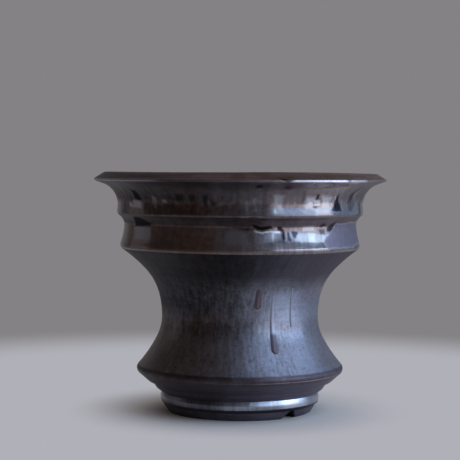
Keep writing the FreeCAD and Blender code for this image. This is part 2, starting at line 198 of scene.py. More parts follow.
# Marks in the collar's glaze. The pale ones are painted reflections and highlights of the window light, the
# blue ones are painted reflections of dark shapes in it, and the dark ones are partly dark drips of glaze
# and partly painted dark reflections. Each has how strong it is, how softly it ends and how far it is
# widened, both in millimetres, and its corners as above. Two corners make a streak.
MARKS = {
    "dark": [
        (0.9, 0.8, 0.0, [(34.2, 189.7), (34.2, 193.9), (35.5, 194.1), (35.8, 190.9), (35.0, 189.4)]),
        (0.7, 0.8, 0.9, [(33.8, 183.4), (35.4, 183.0)]),
        (0.95, 0.6, 0.3, [(-54.6, 196.0), (-51.8, 195.8), (-49.5, 188.7), (-51.0, 187.8), (-54.6, 189.4)]),
        (0.85, 1.3, 0.4, [(-28.8, 192.7), (-25.2, 192.1), (-26.3, 187.8), (-28.8, 187.8)]),
        (0.9, 1.2, 0.5, [(-22.0, 192.1), (-20.0, 192.7), (-20.0, 188.1), (-22.0, 187.5)]),
        (0.95, 1.0, 0.6, [(-16.0, 192.4), (-14.5, 192.4), (-15.0, 184.1), (-16.0, 184.1)]),
        (0.85, 1.2, 0.4, [(-13.0, 189.0), (-10.5, 186.5), (-11.2, 183.2), (-13.0, 184.1)]),
        (0.85, 0.7, 0.3, [(6.0, 201.3), (8.0, 201.3), (8.5, 199.1), (6.0, 199.1)]),
        (0.5, 1.2, 1.6, [(18.4, 200.5), (20.4, 199.6)]),
        (0.45, 1.8, 1.4, [(27.2, 196.0), (28.0, 189.0)]),
        (0.7, 0.8, 1.1, [(60.4, 200.0), (58.4, 193.0), (56.4, 186.0)]),
        (0.95, 0.6, 0.2, [(-58.8, 172.6), (-54.0, 172.8), (-46.8, 168.5), (-47.2, 166.4), (-61.5, 164.9)]),
        (0.5, 2.4, 0.0, [(-12.0, 173.9), (8.8, 173.5), (10.0, 170.1), (3.2, 164.3), (0.0, 164.9),
                         (-11.0, 169.6)]),
        (0.35, 1.2, 0.0, [(13.0, 155.0), (28.5, 155.0), (28.5, 149.8), (13.0, 149.8)]),
        (0.85, 0.5, 0.2, [(14.4, 207.6), (19.2, 205.3), (17.2, 204.6), (14.8, 206.0)]),
        (0.7, 0.5, 0.4, [(43.0, 207.0), (44.2, 204.8)]),
        (0.85, 0.5, 0.4, [(-12.5, 174.3), (12.0, 174.0)]),
        (0.8, 0.5, 0.35, [(-11.0, 169.4), (-4.0, 166.7)]),
        (0.8, 0.5, 0.35, [(-4.0, 166.7), (4.0, 164.6)]),
        (0.95, 0.8, 0.3, [(5.5, 168.2), (10.2, 167.9), (14.3, 167.4), (14.8, 165.5), (10.2, 164.9),
                          (6.5, 165.5)]),
        (0.95, 0.7, 0.3, [(16.8, 164.6), (17.0, 167.1), (18.8, 167.4), (20.0, 164.9), (19.2, 163.7)]),
        (0.95, 0.7, 0.3, [(19.0, 165.2), (20.0, 164.9), (20.8, 158.1), (19.5, 156.0), (19.2, 159.5)]),
    ],
    "blue": [
        (0.95, 0.6, 0.0, [(47.0, 194.6), (49.8, 186.0), (51.4, 179.4), (44.4, 179.8), (46.2, 186.5)]),
        (0.5, 1.2, 0.0, [(55.8, 194.7), (58.5, 194.7), (63.8, 184.1), (59.0, 178.5), (57.2, 180.2)]),
        (0.65, 1.4, 0.0, [(16.6, 161.5), (20.8, 161.5), (20.8, 153.8), (16.6, 153.8)]),
        (0.9, 0.7, 0.0, [(21.8, 162.8), (22.8, 162.8), (24.0, 156.3), (23.5, 154.5), (21.8, 156.3)]),
        (0.9, 0.7, 0.0, [(24.0, 163.1), (27.5, 162.8), (27.5, 161.0), (25.8, 156.9), (25.0, 157.8)]),
        (0.3, 1.4, 0.0, [(19.0, 183.0), (29.0, 183.0), (29.0, 177.4), (19.0, 177.4)]),
        (0.75, 0.8, 0.0, [(39.5, 167.7), (42.8, 169.9), (44.0, 167.7), (41.0, 165.5)]),
        (0.75, 1.0, 0.0, [(39.0, 164.6), (43.0, 164.6), (43.6, 159.5), (40.0, 160.5)]),
        (0.85, 0.7, 0.0, [(46.8, 168.2), (51.5, 170.6), (50.0, 167.3), (48.5, 162.8), (45.0, 162.6),
                          (44.5, 165.9)]),
    ],
    "pale": [
        (1.0, 0.7, 0.0, [(33.2, 189.4), (36.5, 189.0), (36.8, 184.7), (33.8, 184.4)]),
        (0.35, 1.8, 0.0, [(14.0, 193.5), (18.6, 193.5), (18.0, 182.0), (14.6, 182.0)]),
        (0.6, 0.7, 0.7, [(15.4, 190.0), (15.2, 179.0)]),
        (0.75, 2.6, 0.4, [(29.6, 191.0), (34.0, 191.0), (33.4, 183.0), (29.8, 183.0)]),
        (0.7, 2.6, 0.4, [(37.8, 192.5), (43.0, 191.0), (42.6, 182.5), (38.2, 182.5)]),
        (0.35, 2.2, 0.4, [(35.0, 182.8), (43.4, 182.8), (43.0, 177.4), (35.0, 177.4)]),
        (0.9, 0.6, 0.45, [(45.6, 192.0), (43.5, 180.6)]),
        (0.4, 0.6, 0.3, [(50.6, 189.0), (52.6, 180.6)]),
        (0.3, 0.8, 0.7, [(61.6, 196.0), (60.0, 184.0)]),
        (1.0, 0.45, 0.55, [(7.0, 162.6), (17.8, 162.9)]),
        (0.5, 0.7, 0.6, [(15.2, 161.5), (15.0, 154.0)]),
        (0.1, 1.2, 0.0, [(26.2, 161.0), (32.4, 161.0), (32.4, 154.2), (26.2, 154.2)]),
        (0.3, 1.0, 0.0, [(32.8, 161.4), (37.0, 161.2), (36.6, 153.8), (32.8, 154.0)]),
        (0.4, 1.0, 0.0, [(30.2, 167.2), (36.4, 167.2), (36.4, 163.2), (30.2, 163.4)]),
        (0.3, 0.9, 0.0, [(-36.8, 188.4), (-34.5, 188.7), (-34.2, 186.2), (-36.5, 185.9)]),
        (0.45, 0.8, 0.0, [(-61.0, 186.5), (-58.0, 185.0), (-56.8, 181.7), (-60.8, 182.3)]),
        (0.22, 1.0, 0.0, [(-42.2, 191.5), (-40.0, 190.6), (-40.0, 181.4), (-42.0, 181.4)]),
        (0.34, 0.7, 0.2, [(-57.2, 187.2), (-50.6, 187.4), (-50.4, 181.4), (-56.4, 181.4)]),
        (0.2, 1.2, 0.9, [(2.4, 188.0), (2.8, 179.0)]),
        (0.2, 1.2, 0.8, [(6.2, 190.0), (6.4, 180.0)]),
    ],
    "grey": [
        (0.9, 0.7, 0.0, [(10.2, 161.3), (14.7, 161.5), (14.6, 153.9), (10.5, 153.9)]),
        (0.4, 2.6, 0.0, [(-7.0, 163.0), (3.0, 163.0), (4.0, 153.0), (-6.0, 153.0)]),
        (0.55, 1.0, 0.0, [(6.0, 161.0), (9.6, 161.4), (9.6, 153.8), (6.6, 153.8)]),
        (0.75, 0.6, 0.0, [(-62.0, 164.4), (-47.6, 164.6), (-47.4, 154.6), (-61.0, 153.8)]),
    ],
    "matt": [(1.0, 0.5, 0.0, MATT_PATCH)],
    "matt_core": [(1.0, 0.6, -1.3, MATT_PATCH)],
}
DEGREE = 1.9            # millimetres that a degree of azimuth spans on the collar


def depth_inside(places, corners):
    """How far points lie inside a closed outline, in millimetres; below 0 outside it."""
    ends = np.array([(azimuth * DEGREE, height) for azimuth, height in corners])
    nearest = np.full(places.shape[:-1], np.inf)
    inside = np.zeros(places.shape[:-1], bool)
    for start, end in zip(ends, np.roll(ends, -1, axis=0)):
        along = end - start
        share = np.clip((places - start) @ along / (along @ along), 0, 1)
        nearest = np.minimum(nearest, np.linalg.norm(places - start - share[..., None] * along, axis=-1))
        if along[1] != 0:
            crossing = start[0] + (places[..., 1] - start[1]) / along[1] * along[0]
            passed = (start[1] > places[..., 1]) != (end[1] > places[..., 1])
            inside ^= passed & (places[..., 0] < crossing)
    return np.where(inside, nearest, -nearest)


def painted(azimuth, height, marks):
    """The most of several marks at points of the surface: 1 inside a mark, easing to 0 at its rim."""
    aside = WANDER_ASIDE[0] * waves(azimuth, height, *WANDER_ASIDE[1:])
    upward = WANDER_UP[0] * waves(azimuth, height, *WANDER_UP[1:])
    turned = (np.degrees(azimuth) + 180) % 360 - 180
    places = np.stack([turned * DEGREE + aside, height + upward], axis=-1)
    total = np.zeros(places.shape[:-1])
    for strength, soft, widening, corners in marks:
        inside = np.clip((depth_inside(places, corners) + widening) / (2 * soft) + 0.5, 0, 1)
        total = np.maximum(total, strength * inside ** 2 * (3 - 2 * inside))
    return total


def spaced(first, last, gap, bend_gap):
    """Indices of rows from first to last, gap apart where the line is even and bend_gap where it bends."""
    part = OUTER[first:last + 1]
    direction = np.unwrap(np.arctan2(*np.gradient(part, axis=0).T[::-1]))
    bend = np.abs(np.gradient(direction)) / FINE_STEP
    bend = np.convolve(bend, np.ones(BEND_WINDOW) / BEND_WINDOW, "same")
    density = 1 / gap + np.clip(bend / FULL_BEND, 0, 1) * (1 / bend_gap - 1 / gap)
    travelled = np.concatenate([[0], np.cumsum(density[1:] * np.hypot(*np.diff(part, axis=0).T))])
    count = int(math.ceil(travelled[-1]))
    rows = np.interp(np.linspace(0, travelled[-1], count + 1), travelled, np.arange(len(part)))
    return np.unique(np.round(rows).astype(int)) + first


def add_mesh(name, points, faces, material):
    """An object in the scene from points in metres and lists of corners."""
    mesh = bpy.data.meshes.new(name)
    mesh.from_pydata(points.reshape(-1, 3).tolist(), [], faces)
    mesh.materials.append(material)
    made = bpy.data.objects.new(name, mesh)
    bpy.context.scene.collection.objects.link(made)
    return made


def add_piece(name, points, faces, material):
    """A smooth piece of the pot that keeps its sharp edges."""
    piece = add_mesh(name, points, faces.tolist(), material)
    piece.data.shade_smooth()
    piece.data.set_sharp_from_angle(angle=math.radians(SHARP_ANGLE))
    return piece


def around(radius, height, azimuth):
    """Points in metres from radius and height in millimetres and azimuth in radians."""
    flat = (radius * np.sin(azimuth), -radius * np.cos(azimuth), height + 0 * azimuth)
    return np.stack(flat, axis=-1) * MM


def grid_faces(rows, columns, closed_rows):
    """Quads of a grid that closes around the pot, and along its rows where asked."""
    row = np.arange(rows if closed_rows else rows - 1)[:, None]
    column = np.arange(columns)[None, :]
    next_row, next_column = (row + 1) % rows, (column + 1) % columns
    corners = (row * columns + column, next_row * columns + column,
               next_row * columns + next_column, row * columns + next_column)
    return np.stack(corners, axis=-1).reshape(-1, 4)


def coat_piece(name, first, last, gap, material, paint):
    """One zone of the coat: an outer face with relief and painted marks, and an inner face on the clay."""
    azimuth = np.linspace(0, 2 * math.pi, AZIMUTHS, endpoint=False)[None, :]
    rows = spaced(PLACES[first], PLACES[last], gap, BEND_GAP)
    radius, height = OUTER[rows, 0][:, None], OUTER[rows, 1][:, None]
    raised = relief(azimuth, height)
    outside = around(radius + raised * OUTWARD[rows, 0][:, None],
                     height + raised * OUTWARD[rows, 1][:, None], azimuth)
    back = spaced(PLACES[first], PLACES[last], *BACK_GAPS)[::-1]
    inside = around(INNER[back, 0][:, None], INNER[back, 1][:, None], azimuth)
    points = np.concatenate([outside, inside]).reshape(-1, 3)
    faces = grid_faces(len(rows) + len(back), AZIMUTHS, closed_rows=True)
    piece = add_piece(name, points, faces, material)
    for kind, marks in paint.items():
        values = np.zeros(len(points))
        values[:len(rows) * AZIMUTHS] = painted(azimuth, height, marks).reshape(-1)
        piece.data.attributes.new(kind, "FLOAT", "POINT").data.foreach_set("value", values)
    return piece


def make_runs(material):
    """Raised drops on the stem: each swells from a thin rim to its middle and is widest at its bead."""
    along_count, across_count = RUN_COUNTS
    stray, stray_height = RUN_SWAY
    stem = slice(PLACES["lower ring underside"], PLACES["skirt"])
    levels, radii = OUTER[stem, 1][::-1], OUTER[stem, 0][::-1]
    tilts = np.stack([np.interp(levels, levels, OUTWARD[stem, axis][::-1]) for axis in (0, 1)], axis=1)
    points, faces = [], []
    for number, (turn, bead_level, length, bead, tail, lean) in enumerate(RUNS):
        step = np.linspace(-math.pi / 2, math.pi / 2, along_count)[:, None]
        level = bead_level - bead + (length + bead + tail) * (np.sin(step) + 1) / 2
        share = np.clip((level - bead_level) / length, 0, 1)
        width = bead + (tail - bead) * share ** RUN_TAPER
        low = np.sqrt(np.clip(1 - ((bead_level - level) / bead) ** 2, 0, 1))
        high = np.sqrt(np.clip(1 - ((level - bead_level - length) / tail) ** 2, 0, 1))
        width = np.where(level > bead_level + length, tail * high, width)
        width = np.where(level < bead_level, bead * low, width)
        side = np.sin(np.linspace(-math.pi / 2, math.pi / 2, across_count))[None, :]
        radius = np.interp(level, levels, radii)
        sway = stray * np.sin(level / stray_height + number)
        azimuth = np.radians(turn - lean * share) + (side * width + sway) / radius
        edge = np.sqrt(np.clip(1 - side ** 2, 0, 1)) * np.ones_like(level)
        height = RUN_RELIEF * edge ** 3 * (1 - TAIL_THINNING * share) * np.clip(width / tail, 0, 1)
        top = relief(azimuth, level) + height
        bottom = relief(azimuth, level) - RUN_SUNK
        out = [np.interp(level, levels, tilts[:, axis]) for axis in (0, 1)]
        for layer in (top, bottom):
            points.append(around(radius + layer * out[0], level + layer * out[1], azimuth).reshape(-1, 3))
        start = 2 * number * along_count * across_count
        index = start + np.arange(along_count * across_count).reshape(along_count, across_count)
        under = index + along_count * across_count
        quads = [(index[:-1, :-1], index[:-1, 1:], index[1:, 1:], index[1:, :-1]),
                 (under[:-1, :-1], under[1:, :-1], under[1:, 1:], under[:-1, 1:]),
                 (index[:-1, 0], index[1:, 0], under[1:, 0], under[:-1, 0]),
                 (index[1:, -1], index[:-1, -1], under[:-1, -1], under[1:, -1]),
                 (index[0, 1:], index[0, :-1], under[0, :-1], under[0, 1:]),
                 (index[-1, :-1], index[-1, 1:], under[-1, 1:], under[-1, :-1])]
        faces += [np.stack(quad, axis=-1).reshape(-1, 4) for quad in quads]
    return add_piece("runs_of_glaze", np.concatenate(points), np.concatenate(faces), material)


# Materials
GLAZE_METAL = 0.65               # metallic share of the glaze
BARE_CLAY = 0.75, 0.0            # roughness and metallic share
FOOT_CLAY = 0.46, 0.5
COAT_ROUGHNESS, COAT_IOR = 0.07, 1.75
# Values of a noise between which a mix goes from one side to the other
NARROW_MIX = 0.35, 0.65
WIDE_MIX = 0.3, 0.7
# Heights in millimetres where the finish changes: a pair is from and to, a single one the middle of a band
LIP_FOOT = 204.6, 205.6
LIP_LINE = 204.9
COVE = 190.0, 198.0
COVE_UNDERSIDE = 184.0, 190.0
UPPER_BAND_FOOT = 179.5
UPPER_RING, LOWER_RING = 176.2, 146.6
RING_UNDERSIDE = 171.0
LOWER_BAND = 172.0, 168.0
LOWER_BAND_GLOSS = 174.0, 168.0
STEM_TOP = 124.0, 140.0
STEM_RIGHT = 106.0, 88.0
# Heights of the stem's painted highlight
STEM_HIGHLIGHT_BAND = 93.0, 101.0
STEM_HIGH = 92.0, 108.0
STEM_LOW = 82.0, 62.0
LEAN_START = 72.0
RUN_TAIL = 73.0, 77.0
SKIRT_RIM = 42.9, 41.3
SKIRT_LINE = 35.3
SKIRT_UNDERSIDE = 33.6, 32.6
FOOT_LOWER_RIM = 11.0, 10.0
NOTCH_TOP = 9.0, 8.6
GLAZE_END = 8.0
GROUND_EDGE = 4.0, 1.0


class Graph:
    """The nodes of a material or of the world, built up from sockets."""

    def __init__(self, owner, output="ShaderNodeOutputMaterial"):
        self.owner = owner
        owner.use_nodes = True
        self.tree = owner.node_tree
        self.tree.nodes.clear()
        self.output = self.tree.nodes.new(output)

    def fill(self, socket, value):
        if isinstance(value, bpy.types.NodeSocket):
            self.tree.links.new(value, socket)
        elif value is not None:
            socket.default_value = value

    def node(self, kind, *values, **settings):
        """A new node with its settings, and its inputs filled in their order."""
        made = self.tree.nodes.new("ShaderNode" + kind)
        for key, value in settings.items():
            setattr(made, key, value)
        for socket, value in zip(made.inputs, values):
            self.fill(socket, value)
        return made

    def show(self, shader):
        """Makes a shader node the one that is seen."""
        self.fill(self.output.inputs["Surface"], shader.outputs[0])

    def math(self, operation, a, b=None, clamp=False):
        return self.node("Math", a, b, operation=operation, use_clamp=clamp).outputs[0]

    def plus(self, a, b, clamp=False):
        return self.math("ADD", a, b, clamp)

    def minus(self, a, b, clamp=False):
        return self.math("SUBTRACT", a, b, clamp)

    def times(self, a, b, clamp=False):
        return self.math("MULTIPLY", a, b, clamp)

    def most(self, *masks):
        """The highest of several masks."""
        total = masks[0]
        for mask in masks[1:]:
            total = self.math("MAXIMUM", total, mask)
        return total

    def vector(self, x, y, z):
        return self.node("CombineXYZ", x, y, z).outputs[0]

    def ramp(self, value, low, high, start=0.0, end=1.0):
        """Eased from start to end as value goes from low to high."""
        made = self.node("MapRange", value, low, high, start, end, interpolation_type="SMOOTHSTEP")
        return made.outputs[0]

    def blend(self, share, a, b):
        """A number between a and b."""
        return self.node("MapRange", share, 0.0, 1.0, a, b, interpolation_type="LINEAR").outputs[0]

    def mix(self, share, a, b):
        """A colour between a and b."""
        made = self.tree.nodes.new("ShaderNodeMix")
        made.data_type = "RGBA"
        for socket, value in zip((made.inputs[0], made.inputs[6], made.inputs[7]), (share, a, b)):
            self.fill(socket, value)
        return made.outputs[2]

    def noise(self, vector, scale, detail, roughness, distortion=0.0):
        made = self.tree.nodes.new("ShaderNodeTexNoise")
        for key, value in (("Vector", vector), ("Scale", scale), ("Detail", detail),
                           ("Roughness", roughness), ("Distortion", distortion)):
            self.fill(made.inputs[key], value)
        return made.outputs[0]


class PotGraph(Graph):
    """A material in the pot's own coordinates: azimuth in degrees, height and radius in millimetres."""

    def __init__(self, name):
        super().__init__(bpy.data.materials.new(name))
        place = self.node("TexCoord").outputs["Object"]
        self.place = self.scale(place, 1 / MM)
        x, y, z = self.node("SeparateXYZ", self.place).outputs
        self.height = z
        azimuth = self.math("ARCTAN2", x, self.times(y, -1.0))
        self.azimuth = self.times(azimuth, 180 / math.pi)
        away = self.node("VectorMath", self.place, (1, 1, 0), operation="MULTIPLY").outputs[0]
        self.radius = self.node("VectorMath", away, operation="LENGTH").outputs[1]
        self.round = self.node("VectorMath", away, operation="NORMALIZE").outputs[0]

    def scale(self, vector, factor):
        made = self.node("VectorMath", vector, operation="SCALE")
        self.fill(made.inputs["Scale"], factor)
        return made.outputs[0]

    def streaks(self, around_scale, up_scale, detail, roughness, seed=0.0):
        """Noise drawn out up and down the pot: the scales are waves round a radian and up a millimetre."""
        spread = self.scale(self.round, around_scale)
        up = self.vector(0.0, seed, self.times(self.height, up_scale))
        both = self.node("VectorMath", spread, up, operation="ADD").outputs[0]
        return self.noise(both, 1.0, detail, roughness)

    def paint(self, kind):
        """The marks of one kind that the mesh carries."""
        return self.node("Attribute", attribute_name=kind).outputs["Fac"]

    def turned(self, stops, value=None):
        """A number that goes smoothly through stops, each an azimuth and what it is there."""
        azimuth = self.azimuth if value is None else value
        share = self.node("MapRange", azimuth, -180.0, 180.0, 0.0, 1.0, interpolation_type="LINEAR")
        made = self.node("ValToRGB", share.outputs[0])
        made.color_ramp.interpolation = "EASE"
        points = made.color_ramp.elements
        while len(points) < len(stops):
            points.new(0.5)
        for point, (azimuth, level) in zip(points, stops):
            point.position = (azimuth + 180) / 360
            point.color = (level, level, level, 1)
        return made.outputs[0]

    def band(self, height, half, soft):
        """1 within half of a height, which may be a number or a socket."""
        away = self.math("ABSOLUTE", self.minus(self.height, height))
        return self.ramp(away, half + soft, half - soft)

    def finish(self, base, roughness, bump, bump_distance, metallic=GLAZE_METAL, coat=None):
        """The material from a base colour, a roughness, a height for its bump and a clear coat's weight."""
        shader = self.tree.nodes.new("ShaderNodeBsdfPrincipled")
        self.fill(shader.inputs["Base Color"], base)
        self.fill(shader.inputs["Roughness"], roughness)
        self.fill(shader.inputs["Metallic"], metallic)
        if coat is not None:
            self.fill(shader.inputs["Coat Weight"], coat)
            shader.inputs["Coat Roughness"].default_value = COAT_ROUGHNESS
            shader.inputs["Coat IOR"].default_value = COAT_IOR
        relief_node = self.tree.nodes.new("ShaderNodeBump")
        relief_node.inputs["Strength"].default_value = 1.0
        relief_node.inputs["Distance"].default_value = bump_distance
        self.fill(relief_node.inputs["Height"], bump)
        self.fill(shader.inputs["Normal"], relief_node.outputs[0])
        self.show(shader)
        return self.owner


def collar_material():
    """The glossy glaze on lip, mouth and collar."""
    pot = PotGraph("collar_glaze_dressed")
    curtain = pot.streaks(9.0, 0.012, 3.0, 0.55)
    narrow = pot.streaks(34.0, 0.035, 4.0, 0.65, seed=5.0)
    cloud = pot.noise(pot.place, 0.07, 4.0, 0.6)
    mottle = pot.noise(pot.place, 0.22, 3.0, 0.6)
    fine = pot.noise(pot.place, 0.8, 3.0, 0.7)

    # Where the glaze is silver rather than brown, partly the glaze and partly painted light: silver on the
    # right, where the window light falls, and brown on the shaded left; and how strong its clear coat is
    share = pot.turned([(-180, 0.5), (-120, 0.45), (-66, 0.25), (-46, 0.12), (-20, 0.06), (-4, 0.3),
                        (12, 0.6), (30, 0.85), (70, 0.7), (130, 0.5), (180, 0.5)])
    drift = pot.plus(pot.times(curtain, 0.5), pot.times(mottle, 0.6))
    metal = pot.plus(share, pot.minus(drift, 0.55), clamp=True)
    cove = pot.ramp(pot.plus(pot.height, pot.times(curtain, 9.0)), *COVE)
    metal = pot.times(metal, pot.blend(cove, 1.0, 0.7))
    shine = pot.turned([(-180, 0.6), (-110, 0.5), (-66, 0.3), (-46, 0.26), (-20, 0.24), (4, 0.2), (11, 0.2),
                        (24, 0.15), (31, 0.6), (39, 0.92), (46, 0.7), (60, 0.65), (130, 0.6), (180, 0.6)])
    shine = pot.times(shine, pot.ramp(pot.height, *LOWER_BAND_GLOSS, 1.0, 0.78))

    # Its parts and its painted marks
    lip = pot.ramp(pot.height, *LIP_FOOT)
    dark, blue, pale, grey, matt, matt_core = (pot.paint(kind) for kind in MARKS)
    matt_rim = pot.times(matt, pot.minus(1.0, matt_core))
    ring_edges = pot.most(pot.band(UPPER_RING, 0.45, 0.5), pot.band(LOWER_RING, 0.5, 0.5))
    # The ring edges break pale: partly the glaze thinning there, partly a painted highlight that grows
    # towards the lit right
    edge_break_and_highlight = pot.times(ring_edges, pot.ramp(cloud, *NARROW_MIX, 0.1, 0.8))
    edge_break_and_highlight = pot.times(edge_break_and_highlight, pot.blend(share, 0.05, 1.2), clamp=True)
    under_ring = pot.band(RING_UNDERSIDE, 4.0, 1.0)
    facing_down = pot.most(pot.ramp(pot.height, *COVE_UNDERSIDE), under_ring)
    # The side that the window light falls on, for the painted reflection and painted shade on faces that
    # look down
    lit = pot.turned([(-180, 0.5), (-100, 0.2), (-40, 0.02), (6, 0.1), (20, 0.9), (44, 0.95), (54, 0.2),
                      (100, 0.3), (180, 0.5)])
    dull = pot.times(facing_down, pot.minus(1.0, lit))

    # Brown and silver, and how they change down the collar: the brown darkens on faces that look down under
    # the lip and the rings as painted shade, and the silver turns lighter where they look down on the lit
    # side as a painted reflection, and darker under the rings as painted shade
    brown = pot.mix(pot.ramp(mottle, *WIDE_MIX), colour(66, 43, 33), colour(86, 62, 52))
    brown = pot.mix(pot.ramp(narrow, 0.45, 0.75), brown, colour(70, 58, 54))
    lower_band = pot.ramp(pot.height, *LOWER_BAND)
    brown = pot.mix(lower_band, brown, pot.mix(mottle, colour(74, 52, 40), colour(122, 96, 84)))
    shaded = pot.mix(pot.ramp(cloud, 0.4, 0.7), colour(30, 21, 17), colour(50, 35, 31))
    brown = pot.mix(facing_down, brown, shaded)
    silver = pot.mix(pot.ramp(narrow, *NARROW_MIX), colour(104, 97, 104), colour(132, 130, 137))
    silver = pot.mix(pot.times(facing_down, lit), silver, colour(150, 136, 142))
    band_foot = pot.times(pot.band(UPPER_BAND_FOOT, 3.5, 1.0), pot.ramp(pot.azimuth, 8.0, 18.0))
    silver = pot.mix(band_foot, silver, colour(112, 118, 132))
    silver = pot.mix(under_ring, silver, colour(98, 86, 94))
    base = pot.mix(metal, brown, silver)
    base = pot.mix(pot.times(pot.ramp(fine, 0.5, 0.8), 0.3), base, colour(110, 92, 92))

    # The lip: reddish with fine rings, darker at the left and back as painted shade, and a painted highlight
    # along its edge, strongest towards the window light
    red = pot.mix(pot.ramp(cloud, *NARROW_MIX), colour(104, 76, 64), colour(122, 95, 90))
    darker = pot.turned([(-180, 1.0), (-70, 0.9), (-40, 0.5), (-10, 0.0), (90, 0.0), (180, 1.0)])
    red = pot.mix(darker, red, colour(64, 49, 39))
    rings = pot.noise(pot.vector(pot.times(pot.azimuth, 0.03), 0.0, pot.height), 1.1, 2.0, 0.6)
    red = pot.mix(pot.ramp(rings, 0.4, 0.62, 0.0, 0.42), red, colour(30, 20, 17))
    base = pot.mix(lip, base, red)
    rim = pot.times(pot.band(LIP_LINE, 1.1, 0.3), pot.ramp(pot.radius, 124.0, 125.0))
    # How strong the painted highlight along the lip's edge is around the pot
    bright = pot.turned([(-180, 0.1), (-76, 0.5), (-36, 0.3), (-30, 0.06), (14, 0.08), (20, 0.6), (34, 0.85),
                         (38, 1.0), (42.5, 1.0), (43.8, 0.1), (45, 0.7), (53, 0.6), (56, 0.1), (180, 0.1)])
    base = pot.mix(pot.times(rim, bright), base, colour(226, 218, 228))

    # The marks' colours: the ring edges darkened at the left as painted shade, their breaks pale at the
    # right partly as glaze and partly as a painted highlight, and the painted reflections of the pale, blue
    # and dark marks
    base = pot.mix(grey, base, colour(130, 130, 140))
    patch = pot.mix(pot.ramp(mottle, *WIDE_MIX), colour(106, 103, 119), colour(119, 115, 130))
    base = pot.mix(matt, base, patch)
    base = pot.mix(pot.times(matt_rim, 0.5), base, colour(160, 152, 166))
    base = pot.mix(pot.times(ring_edges, pot.blend(share, 0.85, 0.0)), base, colour(22, 14, 11))
    base = pot.mix(edge_break_and_highlight, base, pot.mix(share, colour(70, 44, 36), colour(176, 164, 166)))
    base = pot.mix(pale, base, colour(204, 204, 212))
    base = pot.mix(blue, base, colour(20, 30, 48))
    base = pot.mix(dark, base, colour(12, 5, 5))

    # Coat, roughness and metal: dark marks at the left are made fully rough and not metallic, so that their
    # painted darkness holds, because even black metal shows the floor there
    gloss = pot.minus(1.0, pot.most(dark, blue, matt, grey), clamp=True)
    shine = pot.plus(shine, pot.times(pot.minus(curtain, 0.5), 0.6), clamp=True)
    coat = pot.times(shine, gloss)
    coat = pot.times(coat, pot.minus(1.0, pot.most(dull, pot.blend(lip, 0.0, 0.7))))
    coat = pot.times(coat, pot.blend(under_ring, 1.0, 0.35))
    left_rim = pot.times(rim, pot.ramp(pot.azimuth, 22.0, 10.0))
    coat = pot.times(coat, pot.blend(left_rim, 1.0, 0.2))
    roughness = pot.blend(metal, 0.36, 0.2)
    roughness = pot.plus(roughness, pot.times(pot.minus(mottle, 0.5), 0.2))
    roughness = pot.blend(pot.most(matt, dull), roughness, 0.52)
    flat_black = pot.times(dark, pot.ramp(pot.azimuth, 2.0, -8.0))
    roughness = pot.blend(flat_black, roughness, 1.0)
    metallic = pot.blend(pot.most(dark, blue), 0.6, 0.95)
    metallic = pot.times(metallic, pot.blend(pale, 1.0, 0.4))
    metallic = pot.times(metallic, pot.minus(1.0, flat_black))
    return pot.finish(base, roughness, fine, 0.00003, metallic, coat)


